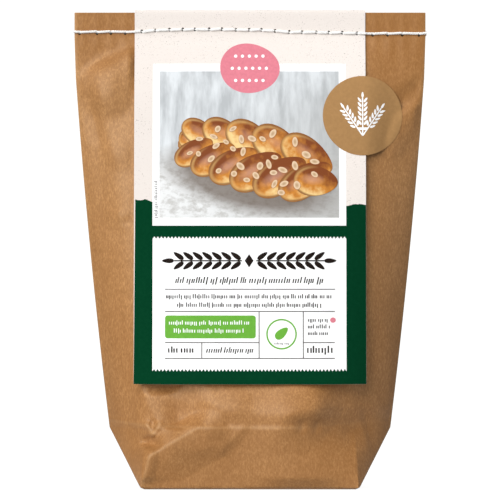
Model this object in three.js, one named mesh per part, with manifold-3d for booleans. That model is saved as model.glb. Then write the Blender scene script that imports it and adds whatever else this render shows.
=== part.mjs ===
import * as THREE from 'three';
import { mergeVertices } from 'three/addons/utils/BufferGeometryUtils.js';
import Module from 'manifold-3d';

// A sewn paper bag of baking mix, standing on its folded cross bottom.
// Millimetres, +Z up, front towards -Y, origin on the floor under the middle of the base.

// The bag is a flat paper tube. Its lower end is folded out into a rectangle, so what the base
// takes in depth it loses in width, and the sides break inwards at two knees.
const bagWidth = 160;
const bagHeight = 216;
const baseDepth = 62;
const baseWidth = bagWidth - baseDepth;
const kneeHalfWidth = 64;
const kneeReach = kneeHalfWidth - baseWidth / 2;
const kneeHeight = Math.sqrt((baseDepth / 2) ** 2 - kneeReach ** 2);

// Above the fill the paper runs straight to the seam, where both plies lie flat on each other.
const seamHeight = 207;
const slackHeight = 186;
const slackHalfWidth = 79.4;
const sideBow = 1;
const stripHeight = seamHeight - 2.5;
const stripHalfThickness = 0.45;
const edgeHalfThickness = 0.35;
const kneeFullness = 6;
const seamFullness = 2.2;

// The cross bottom: two corner pockets, then a rear and a front flap glued over them.
const flapPly = 0.3;
const floorOfPaper = 3 * flapPly;
const flapOverlap = 7;
const flapGlueWidth = 9;
const flapInset = 0.6;

// The label is a strip folded over the top and sewn in with it, longer in front than behind.
const labelWidth = 105;
const labelThickness = 0.4;
const labelFrontBottom = 48;
const labelBackBottom = 90;
const labelFollow = 0.6;
const labelCurlHeight = 34;
const labelCurl = 2.4;
const gap = 0.3;

// The round sticker sits half on the label and half on the paper beside it.
const stickerRadius = 18.1;
const stickerThickness = 0.4;
const stickerCentre = [51.1, 168.8];
const stickerRings = 6;
const stickerSides = 36;
const stickerStiffEdge = 0.6;
const stickerSettle = 14;

// One thread sews the top: straight stitches in front, a chain of loops behind.
const stitchPitch = 6.35;
const stitchCount = 24;
const holeRadius = 1.05;
const threadRadius = 0.65;
const postRadius = 0.6;
const linkRadius = 0.5;
const needleReach = 5;
const rodSides = 6;
const stitchRise = 0.3;
const stitchSlack = 0.1;
const threadTail = 0.5;
const loopLength = 0.94 * stitchPitch;
const loopHeight = 2.1;
const threadOverLabel = labelWidth / 2 + 1.2;

// The grid of the paper: columns over each half of a face, and rows up its height.
const columns = 15;
const cornerColumn = 9;
const kneeRows = columns - cornerColumn;
const bellyRows = 18;
const wedgeRows = 4;
const stripRows = 2;

// Over these distances the pressed folds fade out towards the side edges, the floor and the seam.
const fadeColumns = 3;
const fadeAboveFloor = 10;
const fadeBelowSeam = 6;

const wasm = await Module();
wasm.setup();

// Closed solids from three.js geometry, and back.
function solidOf(geometry) {
  const bare = geometry.index ? geometry.toNonIndexed() : geometry.clone();
  bare.deleteAttribute('normal');
  bare.deleteAttribute('uv');
  const merged = mergeVertices(bare, 1e-4);
  return new wasm.Manifold(new wasm.Mesh({
    numProp: 3,
    vertProperties: new Float32Array(merged.attributes.position.array),
    triVerts: new Uint32Array(merged.index.array),
  }));
}

function geometryOf(solid) {
  const mesh = solid.getMesh();
  const geometry = new THREE.BufferGeometry();
  geometry.setAttribute('position', new THREE.BufferAttribute(mesh.vertProperties, 3));
  geometry.setIndex(new THREE.BufferAttribute(mesh.triVerts, 1));
  geometry.computeVertexNormals();
  return geometry;
}

function geometryFrom(points, triangles) {
  const geometry = new THREE.BufferGeometry();
  geometry.setAttribute('position', new THREE.Float32BufferAttribute(points.flat(), 3));
  geometry.setIndex(triangles.flat());
  return geometry;
}

const { lerp, clamp, smoothstep } = THREE.MathUtils;

// The bag's level sections. A quarter of each is the curve y = depth * (1 - (x / width) ^ fullness),
// and paper doesn't stretch, so every quarter is half the flat width long.
function quarterCurve({ halfWidth, halfDepth, fullness }) {
  const curveSteps = 240;
  const curve = [{ x: 0, y: halfDepth, run: 0 }];
  for (let i = 1; i <= curveSteps; i += 1) {
    const share = i / curveSteps;
    const x = halfWidth * share;
    const y = edgeHalfThickness + (halfDepth - edgeHalfThickness) * (1 - share ** fullness);
    const last = curve[i - 1];
    curve.push({ x, y, run: last.run + Math.hypot(x - last.x, y - last.y) });
  }
  return curve;
}

function pointOnCurve(curve, share) {
  const run = share * curve.at(-1).run;
  const rounding = 1e-9;
  const i = Math.max(1, curve.findIndex((point) => point.run >= run - rounding));
  const [a, b] = [curve[i - 1], curve[i]];
  const part = (run - a.run) / (b.run - a.run);
  return [lerp(a.x, b.x, part), lerp(a.y, b.y, part)];
}

function depthForGirth(halfWidth, fullness) {
  const halvings = 40;
  let [low, high] = [edgeHalfThickness, baseDepth];
  for (let i = 0; i < halvings; i += 1) {
    const halfDepth = (low + high) / 2;
    const length = quarterCurve({ halfWidth, halfDepth, fullness }).at(-1).run;
    if (length < bagWidth / 2) low = halfDepth;
    else high = halfDepth;
  }
  return (low + high) / 2;
}

const fullnessAt = (z) => lerp(kneeFullness, seamFullness, (z - kneeHeight) / (seamHeight - kneeHeight));
const slackHalfDepth = depthForGirth(slackHalfWidth, fullnessAt(slackHeight));

function sectionAt(z) {
  const fullness = fullnessAt(Math.min(z, seamHeight));
  if (z >= slackHeight) {
    const share = clamp((z - slackHeight) / (stripHeight - slackHeight), 0, 1);
    return {
      halfWidth: lerp(slackHalfWidth, bagWidth / 2, share),
      halfDepth: lerp(slackHalfDepth, stripHalfThickness, share),
      fullness,
    };
  }
  const share = (z - kneeHeight) / (slackHeight - kneeHeight);
  const halfWidth = lerp(kneeHalfWidth, slackHalfWidth, share) + sideBow * 4 * share * (1 - share);
  return { halfWidth, halfDepth: depthForGirth(halfWidth, fullness), fullness };
}

function bagDepth(x, z) {
  const { halfWidth, halfDepth, fullness } = sectionAt(z);
  const share = Math.min(1, Math.abs(x) / halfWidth);
  return edgeHalfThickness + (halfDepth - edgeHalfThickness) * (1 - share ** fullness);
}

// Folds pressed into the front paper: each runs from one [x, z] to another, with a height that
// is positive outwards and fades over its reach.
const frontFolds = [
  { from: [-kneeHalfWidth, kneeHeight + 1], to: [kneeHalfWidth, kneeHeight + 1], reach: 7, height: 0.9 },
  { from: [-23, kneeHeight + 1], to: [-45, 14], reach: 8, height: 1.4 },
  { from: [-23, kneeHeight + 2], to: [-39, 40], reach: 10, height: -1.2 },
  { from: [-44, kneeHeight], to: [-44, 20], reach: 6, height: -2 },
  { from: [23, kneeHeight + 2], to: [36, 43], reach: 8, height: -1.3 },
  { from: [50, kneeHeight + 2], to: [47, 4], reach: 6, height: 1.1 },
  { from: [-62, 152], to: [-58, 121], reach: 9, height: 1.1 },
  { from: [-79, 191], to: [-61, 200], reach: 9, height: 1.3 },
  { from: [77, 175], to: [64, 155], reach: 9, height: 1.2 },
];

function frontRelief(x, z) {
  const place = new THREE.Vector3(x, z, 0);
  const nearest = new THREE.Vector3();
  let out = 0;
  for (const { from, to, reach, height } of frontFolds) {
    const line = new THREE.Line3(new THREE.Vector3(...from, 0), new THREE.Vector3(...to, 0));
    line.closestPointToPoint(place, true, nearest);
    const near = 1 - Math.min(1, place.distanceTo(nearest) / reach);
    out += height * near * near * (3 - 2 * near);
  }
  return out;
}

// Below the knees each side is two flat triangles that meet on a crease from the base's corner
// up to the knee, and the front stands between the corners.
const kneeCurve = quarterCurve(sectionAt(kneeHeight));

function footPoint(column, row) {
  const rise = row / kneeRows;
  const [kneeX, kneeY] = pointOnCurve(kneeCurve, column / columns);
  if (column <= cornerColumn) {
    const baseX = (baseWidth / 2) * (column / cornerColumn);
    return [lerp(baseX, kneeX, rise), lerp(baseDepth / 2, kneeY, rise)];
  }
  const along = (column - cornerColumn) / kneeRows;
  const [cornerX, cornerY] = pointOnCurve(kneeCurve, cornerColumn / columns);
  if (along >= rise) {
    const x = baseWidth / 2 + kneeReach * rise;
    return [x, lerp(baseDepth / 2, edgeHalfThickness, along)];
  }
  const bulge = 1 - (1 - rise) / (1 - along);
  const straight = [
    baseWidth / 2 + (cornerX - baseWidth / 2) * rise + (kneeHalfWidth - cornerX) * along,
    baseDepth / 2 + (cornerY - baseDepth / 2) * rise + (edgeHalfThickness - cornerY) * along,
  ];
  const chordX = lerp(cornerX, kneeHalfWidth, along);
  const chordY = lerp(cornerY, edgeHalfThickness, along);
  return [straight[0] + (kneeX - chordX) * bulge, straight[1] + (kneeY - chordY) * bulge];
}

// The heights of the bag's rows, from the underside to the cut top edge.
function bagRows() {
  const rows = [];
  for (let i = 0; i < kneeRows; i += 1) {
    rows.push({ z: Math.max(floorOfPaper, (kneeHeight * i) / kneeRows), foot: i });
  }
  for (let i = 0; i <= bellyRows; i += 1) rows.push({ z: lerp(kneeHeight, slackHeight, i / bellyRows) });
  for (let i = 1; i <= wedgeRows; i += 1) rows.push({ z: lerp(slackHeight, stripHeight, i / wedgeRows) });
  for (let i = 1; i <= stripRows; i += 1) rows.push({ z: lerp(stripHeight, bagHeight, i / stripRows) });
  return rows;
}

// One face of a row, from the left edge to the right, at the front (-1) or the back (1).
function rowPoints({ z, foot }, side) {
  const curve = foot === undefined ? quarterCurve(sectionAt(z)) : null;
  const points = [];
  for (let c = -columns; c <= columns; c += 1) {
    const column = Math.abs(c);
    const [x, depth] = curve ? pointOnCurve(curve, column / columns) : footPoint(column, foot);
    const fromSides = smoothstep(columns - column, 0, fadeColumns);
    const fromEnds = smoothstep(z, 0, fadeAboveFloor) * smoothstep(stripHeight - z, 0, fadeBelowSeam);
    const fold = side < 0 ? frontRelief(Math.sign(c) * x, z) * fromSides * fromEnds : 0;
    points.push([Math.sign(c) * x, side * (depth + fold), z]);
  }
  return points;
}

function bagBody() {
  const rows = bagRows();
  const points = [];
  const triangles = [];
  const span = 2 * columns + 1;
  const ring = 2 * span;
  for (const row of rows) {
    points.push(...rowPoints(row, -1), ...rowPoints(row, 1).reverse());
  }
  for (let r = 0; r < rows.length - 1; r += 1) {
    for (let i = 0; i < ring; i += 1) {
      const j = (i + 1) % ring;
      const [a, b, c, d] = [r * ring + i, r * ring + j, (r + 1) * ring + j, (r + 1) * ring + i];
      const rightHalf = (i % span) >= columns;
      if (rightHalf) triangles.push([a, b, c], [a, c, d]);
      else triangles.push([a, b, d], [b, c, d]);
    }
  }
  const middle = points.length;
  points.push([0, 0, floorOfPaper]);
  for (let i = 0; i < ring; i += 1) triangles.push([middle, (i + 1) % ring, i]);
  const top = (rows.length - 1) * ring;
  for (let i = 0; i < span - 1; i += 1) {
    const [a, b] = [top + i, top + i + 1];
    const [c, d] = [top + ring - 2 - i, top + ring - 1 - i];
    triangles.push([a, b, c], [a, c, d]);
  }
  return geometryFrom(points, triangles);
}

function prism(outline, low, high) {
  const shape = new THREE.Shape(outline.map(([x, y]) => new THREE.Vector2(x, y)));
  const geometry = new THREE.ExtrudeGeometry(shape, { depth: high - low, bevelEnabled: false });
  return solidOf(geometry.translate(0, 0, low));
}

function baseFlap(side, low) {
  const [halfX, halfY] = [baseWidth / 2 - flapInset, baseDepth / 2 - flapInset];
  const slant = (baseWidth - baseDepth) / 2 + flapGlueWidth;
  const outline = [
    [-halfX, -halfY], [halfX, -halfY], [halfX, slant - halfX],
    [slant - flapOverlap, flapOverlap], [flapOverlap - slant, flapOverlap], [-halfX, slant - halfX],
  ];
  const placed = outline.map(([x, y]) => [x, -side * y]);
  return prism(side < 0 ? placed : placed.reverse(), low, floorOfPaper + flapPly);
}

function cornerPocket(side) {
  const [halfX, halfY] = [baseWidth / 2 - flapInset, baseDepth / 2 - flapInset];
  const outline = [[halfX, -halfY], [halfX, halfY], [halfX - halfY, 0]];
  const placed = outline.map(([x, y]) => [side * x, y]);
  return prism(side > 0 ? placed : placed.reverse(), 2 * flapPly, floorOfPaper + flapPly);
}

// Needle holes through bag and label, one at each end of every stitch.
const holePlaces = Array.from({ length: stitchCount + 1 }, (_, i) => (i - stitchCount / 2) * stitchPitch);

function acrossRod(x, radius, from, to) {
  const rod = new THREE.CylinderGeometry(radius, radius, to - from, rodSides);
  return solidOf(rod.translate(x, (from + to) / 2, seamHeight));
}

const needleHoles = wasm.Manifold.union(
  holePlaces.map((x) => acrossRod(x, holeRadius, -needleReach, needleReach)),
);

function bagGeometry() {
  const body = solidOf(bagBody());
  const base = [baseFlap(-1, 0), baseFlap(1, flapPly), cornerPocket(-1), cornerPocket(1)];
  return geometryOf(wasm.Manifold.union([body, ...base]).subtract(needleHoles));
}

// A sheet of paper: inner and outer faces on one grid of rows and columns, with closed edges.
function sheetGeometry(rowCount, columnCount, pointAt) {
  const points = [];
  for (const outer of [false, true]) {
    for (let r = 0; r < rowCount; r += 1) {
      for (let c = 0; c < columnCount; c += 1) points.push(pointAt(r, c, outer));
    }
  }
  const id = (r, c, outer) => (outer ? rowCount * columnCount : 0) + r * columnCount + c;
  const triangles = [];
  const quad = (a, b, c, d) => triangles.push([a, b, c], [a, c, d]);
  for (let r = 0; r < rowCount - 1; r += 1) {
    for (let c = 0; c < columnCount - 1; c += 1) {
      quad(id(r, c, true), id(r, c + 1, true), id(r + 1, c + 1, true), id(r + 1, c, true));
      quad(id(r, c, false), id(r + 1, c, false), id(r + 1, c + 1, false), id(r, c + 1, false));
    }
    const last = columnCount - 1;
    quad(id(r, 0, true), id(r + 1, 0, true), id(r + 1, 0, false), id(r, 0, false));
    quad(id(r, last, true), id(r, last, false), id(r + 1, last, false), id(r + 1, last, true));
  }
  for (let c = 0; c < columnCount - 1; c += 1) {
    const last = rowCount - 1;
    quad(id(0, c, true), id(0, c, false), id(0, c + 1, false), id(0, c + 1, true));
    quad(id(last, c, true), id(last, c + 1, true), id(last, c + 1, false), id(last, c, false));
  }
  return geometryFrom(points, triangles);
}

// How far the label's inner face stands from the middle plane: it follows the paper below it
// loosely across, and its lower edge curls away.
function labelDepth(x, z, side) {
  const { halfWidth, halfDepth, fullness } = sectionAt(z);
  const across = labelFollow * (Math.abs(x) / halfWidth) ** fullness;
  const bottom = side < 0 ? labelFrontBottom : labelBackBottom;
  const curl = Math.max(0, 1 - (z - bottom) / labelCurlHeight);
  return gap + edgeHalfThickness + (halfDepth - edgeHalfThickness) * (1 - across) + labelCurl * curl * curl;
}

// The heights of the label's rows on one side, upwards, with rows where the paper below it bends.
function labelHeights(bottom, count) {
  const heights = [];
  for (let i = 0; i < count; i += 1) heights.push(lerp(bottom, slackHeight, i / count));
  for (let i = 0; i < wedgeRows; i += 1) heights.push(lerp(slackHeight, stripHeight, i / wedgeRows));
  return [...heights, stripHeight, bagHeight];
}

function labelGeometry() {
  const [frontRows, foldRows, backRows] = [15, 5, 11];
  const acrossCount = 10;
  const foldRadius = stripHalfThickness + gap;
  const rows = labelHeights(labelFrontBottom, frontRows).map((z) => ({ side: -1, z }));
  for (let i = 1; i < foldRows; i += 1) rows.push({ turn: (Math.PI * i) / foldRows });
  rows.push(...labelHeights(labelBackBottom, backRows).reverse().map((z) => ({ side: 1, z })));
  const geometry = sheetGeometry(rows.length, acrossCount + 1, (r, c, outer) => {
    const x = lerp(-labelWidth / 2, labelWidth / 2, c / acrossCount);
    const { side, z, turn } = rows[r];
    const thickness = outer ? labelThickness : 0;
    if (turn !== undefined) {
      const radius = foldRadius + thickness;
      return [x, -radius * Math.cos(turn), bagHeight + radius * Math.sin(turn)];
    }
    return [x, side * (labelDepth(x, z, side) + thickness), z];
  });
  return geometryOf(solidOf(geometry).subtract(needleHoles));
}

// The sticker bridges from the label's face down to the paper beside it.
function stickerDepth(x, z) {
  const labelEdge = labelWidth / 2;
  const onLabel = labelDepth(Math.min(x, labelEdge), z, -1) + labelThickness + gap;
  if (x <= labelEdge) return onLabel;
  const step = onLabel - (bagDepth(labelEdge, z) + gap);
  const settle = 1 - smoothstep(x - labelEdge - stickerStiffEdge, 0, stickerSettle);
  return bagDepth(x, z) + gap + Math.max(0, frontRelief(x, z)) + step * settle;
}

function stickerGeometry() {
  const radii = Array.from({ length: stickerRings + 1 }, (_, i) => (stickerRadius * i) / stickerRings);
  const outerFace = radii.map((radius) => new THREE.Vector2(radius, stickerThickness));
  const innerFace = radii.map((radius) => new THREE.Vector2(radius, 0));
  const disc = new THREE.LatheGeometry([...outerFace, ...innerFace.reverse()], stickerSides);
  const places = disc.attributes.position;
  for (let i = 0; i < places.count; i += 1) {
    const x = stickerCentre[0] + places.getX(i);
    const z = stickerCentre[1] + places.getZ(i);
    places.setXYZ(i, x, -stickerDepth(x, z) - places.getY(i), z);
  }
  return geometryOf(solidOf(disc));
}

// The thread stands clear of whatever it crosses: the label in the middle, bare paper outside it.
function threadDepth(x, radius) {
  const onLabel = Math.abs(x) < threadOverLabel;
  const surface = onLabel ? stripHalfThickness + gap + labelThickness : stripHalfThickness;
  return surface + gap + radius;
}

function threadSection() {
  const corners = Array.from({ length: rodSides }, (_, i) => {
    const turn = (2 * Math.PI * i) / rodSides;
    return new THREE.Vector2(threadRadius * Math.cos(turn), threadRadius * Math.sin(turn));
  });
  return new THREE.Shape(corners);
}

// The front stitches dip into each hole and rise a little between two holes.
function frontStitches() {
  const halfRun = bagWidth / 2 + threadTail;
  const tail = (x) => new THREE.Vector3(x, -threadDepth(x, threadRadius), seamHeight);
  const route = [tail(-halfRun)];
  holePlaces.forEach((x, i) => {
    route.push(new THREE.Vector3(x, -threadDepth(x, threadRadius), seamHeight - stitchRise));
    if (i === stitchCount) return;
    const middle = x + stitchPitch / 2;
    const lift = Math.max(threadDepth(x, threadRadius), threadDepth(middle, threadRadius));
    route.push(new THREE.Vector3(middle, -lift - stitchSlack, seamHeight + stitchRise));
  });
  route.push(tail(halfRun));
  const extrudePath = new THREE.CatmullRomCurve3(route);
  const options = { steps: 3 * stitchCount, bevelEnabled: false, extrudePath };
  return solidOf(new THREE.ExtrudeGeometry(threadSection(), options));
}

// One loop of the chain behind, from the hole at x to the next one.
function chainLoop(x) {
  const [tubeSides, loopSides] = [4, 8];
  const loop = new THREE.TorusGeometry(1, linkRadius, tubeSides, loopSides);
  loop.rotateX(Math.PI / 2).scale(loopLength / 2, 1, loopHeight / 2);
  const lift = Math.max(threadDepth(x, linkRadius), threadDepth(x + stitchPitch, linkRadius));
  return solidOf(loop.translate(x + stitchPitch / 2, lift, seamHeight));
}

// Where the thread goes through a hole it joins the stitches in front to the chain behind.
function threadGeometry() {
  const posts = holePlaces.map((x) => (
    acrossRod(x, postRadius, -threadDepth(x, threadRadius), threadDepth(x, linkRadius) + linkRadius / 2)
  ));
  const loops = holePlaces.slice(0, stitchCount).map(chainLoop);
  return geometryOf(wasm.Manifold.union([frontStitches(), ...posts, ...loops]));
}

const kraftPaper = new THREE.MeshStandardMaterial({ color: 0xb98d5c, roughness: 0.8, metalness: 0 });
const labelPaper = new THREE.MeshStandardMaterial({ color: 0xfaf1ea, roughness: 0.6, metalness: 0 });
const tanPaper = new THREE.MeshStandardMaterial({ color: 0xb78d5d, roughness: 0.6, metalness: 0 });
const cotton = new THREE.MeshStandardMaterial({ color: 0xf4f1ea, roughness: 0.9, metalness: 0 });

function named(name, geometry, material) {
  const mesh = new THREE.Mesh(geometry, material);
  mesh.name = name;
  return mesh;
}

const pack = new THREE.Group();
pack.add(
  named('bag', bagGeometry(), kraftPaper),
  named('label', labelGeometry(), labelPaper),
  named('sticker', stickerGeometry(), tanPaper),
  named('thread', threadGeometry(), cotton),
);

export default pack;
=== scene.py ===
import math
import random

import bmesh
import bpy
import numpy as np
from mathutils import Matrix, Vector, noise


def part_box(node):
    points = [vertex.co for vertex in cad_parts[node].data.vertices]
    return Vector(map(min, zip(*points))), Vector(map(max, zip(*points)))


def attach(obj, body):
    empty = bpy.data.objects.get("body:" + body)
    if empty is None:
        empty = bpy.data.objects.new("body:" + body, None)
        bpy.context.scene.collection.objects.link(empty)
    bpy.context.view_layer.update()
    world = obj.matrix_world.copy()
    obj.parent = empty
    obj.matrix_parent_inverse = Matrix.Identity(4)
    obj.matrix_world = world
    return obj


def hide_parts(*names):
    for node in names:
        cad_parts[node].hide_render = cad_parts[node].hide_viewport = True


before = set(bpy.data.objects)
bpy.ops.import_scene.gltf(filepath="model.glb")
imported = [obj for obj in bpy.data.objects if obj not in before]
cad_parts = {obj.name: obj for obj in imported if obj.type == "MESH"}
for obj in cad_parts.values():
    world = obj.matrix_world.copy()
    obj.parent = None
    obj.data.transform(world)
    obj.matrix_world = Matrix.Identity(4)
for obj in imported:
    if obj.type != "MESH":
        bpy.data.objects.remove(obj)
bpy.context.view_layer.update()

# Camera
# It stands straight in front of the bag, level with its middle, and far enough away that the base
# and the seam keep nearly one scale.
camera_distance = 2.5
camera_height = 0.1078
seen_width = 0.2279
film_width = 36.0


def put_in_scene(name, data):
    thing = bpy.data.objects.new(name, data)
    bpy.context.scene.collection.objects.link(thing)
    return thing


camera_data = bpy.data.cameras.new("camera")
camera_data.sensor_width = film_width
camera_data.lens = film_width * camera_distance / seen_width
camera = put_in_scene("camera", camera_data)
camera.location = (0, -camera_distance, camera_height)
camera.rotation_euler = (math.pi / 2, 0, 0)
bpy.context.scene.camera = camera

# Paper bag
# A flat tube of brown kraft paper, glued along the middle of its back, filled and pinched shut.
# Its foot is folded out into a rectangle, so each side breaks inwards at a knee, and every level
# section keeps the tube's girth, because paper doesn't stretch.
mm = 0.001
bag_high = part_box("bag")[1]
bag_height = bag_high.z
half_flat = bag_high.x
half_base_depth = 31 * mm
half_base_width = half_flat - half_base_depth
knee_half_width = 64 * mm
knee_reach = knee_half_width - half_base_width
knee_height = math.sqrt(half_base_depth ** 2 - knee_reach ** 2)
seam_height = bag_height - 9 * mm
strip_height = seam_height - 2.5 * mm
slack_height = seam_height - 21 * mm
slack_half_width = half_flat - 0.6 * mm
side_bow = 1 * mm
strip_half_thickness = 0.45 * mm
edge_half_thickness = 0.35 * mm
knee_fullness = 4.4
seam_fullness = 2.2

columns = 98
corner_column = 60
foot_rows = columns - corner_column
# The grid's rows above the knees, closest beside the base fold: up to which height, and how many.
row_stretches = [(62 * mm, 60), (slack_height, 76), (strip_height, 18), (bag_height, 12)]
section_samples, belly_samples = 241, 60
girth_halvings = 30
base_fold_radius = 1.4 * mm
floor_of_paper, foot_inset = 0.9 * mm, 0.99
paper_thickness = 0.2 * mm
mouth_depth = 1.5 * mm
side_columns = 5
side_wear, side_wear_columns = 0.6, 1.5
same_place = 1e-7
sharp_angle = math.radians(40)


def mix(low, high, share):
    return low + (high - low) * share


def smooth(value, start=0.0, end=1.0):
    share = np.clip((value - start) / (end - start), 0, 1)
    return share * share * (3 - 2 * share)


def quarter(half_width, half_depth, fullness):
    """A quarter of a level section, from the middle of a face to the side edge, and its running length."""
    share = np.linspace(0, 1, section_samples)
    x = half_width * share
    y = mix(half_depth, edge_half_thickness, share ** fullness)
    run = np.concatenate([[0], np.cumsum(np.hypot(np.diff(x), np.diff(y)))])
    return x, y, run


def depth_for_girth(half_width, fullness):
    """The half depth that makes a section's quarter as long as a quarter of the tube."""
    low, high = edge_half_thickness, 2 * half_base_depth
    for _ in range(girth_halvings):
        middle = (low + high) / 2
        if quarter(half_width, middle, fullness)[2][-1] < half_flat:
            low = middle
        else:
            high = middle
    return middle


def half_width_at(z):
    """The bag widens in a slight bow from its knees up, and flattens out where it is pinched shut."""
    if z < slack_height:
        rise = (z - knee_height) / (slack_height - knee_height)
        return mix(knee_half_width, slack_half_width, rise) + side_bow * 4 * rise * (1 - rise)
    return mix(slack_half_width, half_flat, min(1, (z - slack_height) / (strip_height - slack_height)))


def fullness_at(z):
    rise = (min(z, seam_height) - knee_height) / (seam_height - knee_height)
    return mix(knee_fullness, seam_fullness, rise)


belly_heights = np.linspace(knee_height, slack_height, belly_samples)
belly_depths = [depth_for_girth(half_width_at(z), fullness_at(z)) for z in belly_heights]
section_heights = [*belly_heights, strip_height, bag_height]
section_depths = [*belly_depths, strip_half_thickness, strip_half_thickness]


def section_at(z):
    """Half width, half depth and fullness of the bag's level section at a height."""
    return half_width_at(z), float(np.interp(z, section_heights, section_depths)), fullness_at(z)


def paper_depth(x, z):
    """How far the bag's face stands from its middle plane."""
    half_width, half_depth, fullness = section_at(z)
    return mix(half_depth, edge_half_thickness, min(1, abs(x) / half_width) ** fullness)


def belly_ring(z):
    x, y, run = quarter(*section_at(z))
    places = np.linspace(0, run[-1], columns + 1)
    return np.interp(places, run, x), np.interp(places, run, y)


def foot_ring(step):
    """Below the knees the front stands between the base's corners, and each side is two flat
    triangles that meet on a crease from the corner up to the knee."""
    rise = step / foot_rows
    column = np.arange(columns + 1)
    knee_x, knee_y = belly_ring(knee_height)
    # It stops just short of the side edge, where the bulge would be divided by nothing.
    along = np.clip((column - corner_column) / foot_rows, 0, 0.9999)
    bulge = 1 - (1 - rise) / (1 - along)

    def fold_out(front_foot, corner_foot, knee, side_edge, lower):
        """One coordinate round the ring: on the front, and on the side's lower and upper triangle."""
        corner = knee[corner_column]
        upper = (mix(corner_foot, corner, rise) + (side_edge - corner) * along
                 + (knee - mix(corner, side_edge, along)) * bulge)
        side = np.where(along >= rise, lower, upper)
        return np.where(column <= corner_column, mix(front_foot, knee, rise), side)

    x = fold_out(half_base_width * column / corner_column, half_base_width, knee_x, knee_half_width,
                 half_base_width + knee_reach * rise)
    y = fold_out(half_base_depth, half_base_depth, knee_y, edge_half_thickness,
                 mix(half_base_depth, edge_half_thickness, along))
    below_fold = max(0, base_fold_radius - knee_height * rise)
    tuck = base_fold_radius - math.sqrt(base_fold_radius ** 2 - below_fold ** 2)
    return x * (1 - tuck / half_base_width), y * (1 - tuck / half_base_depth)


# Folds in millimetres, each from one point (x, z) to another: how far it fades out to the left and
# to the right of its direction, its height, which is negative for a fold pressed inwards, and how
# far its edge is rubbed pale. One that isn't rubbed is a soft bend with a round top.
front_folds = [
    ((-64, 30.3), (-47, 28.8), 2.2, 2.2, 0.3, 0.25),
    ((-47, 28.8), (-23.3, 28.0), 3.5, 2.2, 0.3, 0.3),
    ((-23.3, 28.0), (24, 28.0), 1.5, 26, 0.3, 0.4),
    ((25, 28.2), (49.6, 30.0), 8, 16, -2.7, 0.1),
    ((49.6, 29.8), (64, 30.8), 7, 12, -1.2, 0.05),
    ((-16, 35.6), (28, 35.2), 12, 7.4, 1.9, 0),
    ((-21, 34), (-12, 31.5), 6, 5, -0.9, 0),
    ((-23.3, 28.0), (-45.2, 15.2), 17, 7, 4.7, 0.35),
    ((-45.2, 15.2), (-48.4, 2), 5, 7, 1.8, 0.35),
    ((-46.5, 44), (-45.5, 31), 13, 9, 2.2, 0),
    ((-26.5, 30), (-36, 44), 12, 15, -3.0, 0),
    ((-43, 46), (-36, 46.8), 8, 4.4, -1.8, 0),
    ((-33, 29.8), (-43, 30.2), 3, 11, -1.6, 0),
    ((-43.8, 30.4), (-43.6, 26.6), 1.8, 1.8, -0.9, 0),
    ((-46.8, 29.2), (-43.7, 24.8), 2.0, 2.0, 0.7, 0.5),
    ((-40.6, 29.6), (-43.7, 24.8), 2.0, 2.0, 0.7, 0.5),
    ((-46.4, 20.6), (-43.0, 20.2), 4.2, 3.0, -3.0, 0.01),
    ((-6.6, 37.7), (-16, 29.5), 8, 10, 1.0, 0),
    ((-4, 27.2), (-12, 18.5), 4, 6, 0.9, 0.05),
    ((22.5, 29.5), (29.3, 39), 20, 13, 1.6, 0),
    ((29.3, 39), (28.5, 60), 20, 13, 1.6, 0),
    ((49, 34), (50, 58), 34, 14, -4.0, 0),
    ((23.4, 30.0), (23.0, 26.8), 2.2, 2.4, -0.5, 0.2),
    ((30.4, 30.0), (29.6, 26.6), 2.2, 2.4, -0.5, 0.2),
    ((49.8, 31.4), (53, 19), 2.6, 7, 0.8, 0.05),
    ((24, 24), (28, 3), 24, 30, 2.4, 0),
    ((-79, 193.2), (-62, 199.6), 8, 7, -0.9, 0),
    ((-53, 193.5), (-67.5, 184.5), 18, 9.5, 2.8, 0),
    ((-67.5, 184.5), (-66.5, 176), 13, 7, 1.2, 0),
    ((-66.5, 176), (-61.5, 152), 13, 6, 1.3, 0),
    ((-73.5, 176), (-69.5, 160), 4, 6, -0.6, 0),
    ((-61.5, 152), (-58.5, 124), 9, 8, 1.2, 0),
    ((-59.4, 124), (-57.8, 118.6), 3, 2, 0.5, 0.3),
    ((-57.8, 119.4), (-53.5, 121), 3.4, 2.4, -0.8, 0.02),
    ((77.8, 178.0), (66, 172.5), 3.5, 9, -1.5, 0),
    ((77.4, 175.5), (64, 157), 9, 7, 1.3, 0),
]
back_folds = [
    ((-64, 28.0), (64, 28.0), 2.2, 2.2, 0.55, 0.5),
    ((-62, 34), (10, 33), 8, 5, -1.1, 0),
    ((26, 28), (46, 12), 7, 15, 2.8, 0.4),
    ((28, 28.5), (43, 27.6), 12, 8, -2.8, 0),
    ((26, 29), (37, 42), 10, 13, 1.5, 0.1),
    ((-25, 28.6), (-40, 45), 10, 14, 2.2, 0.2),
    ((-47.5, 26), (-45, 4), 4.5, 6, 1.4, 0.3),
    ((-22.4, 31), (-21.6, 25.6), 2.4, 2.8, -1.0, 0.1),
    ((78, 190), (60, 200), 5, 13, -1.8, 0),
    ((-76, 182), (-62, 156), 8, 8, -1.5, 0),
    ((58, 150), (62, 104), 9, 7, 1.2, 0.2),
    ((-60, 120), (-55, 82), 7, 9, 1.2, 0.2),
]
rubbed_half_width = 1 * mm
crisp_top, soft_top = 0.03, 0.22
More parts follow.
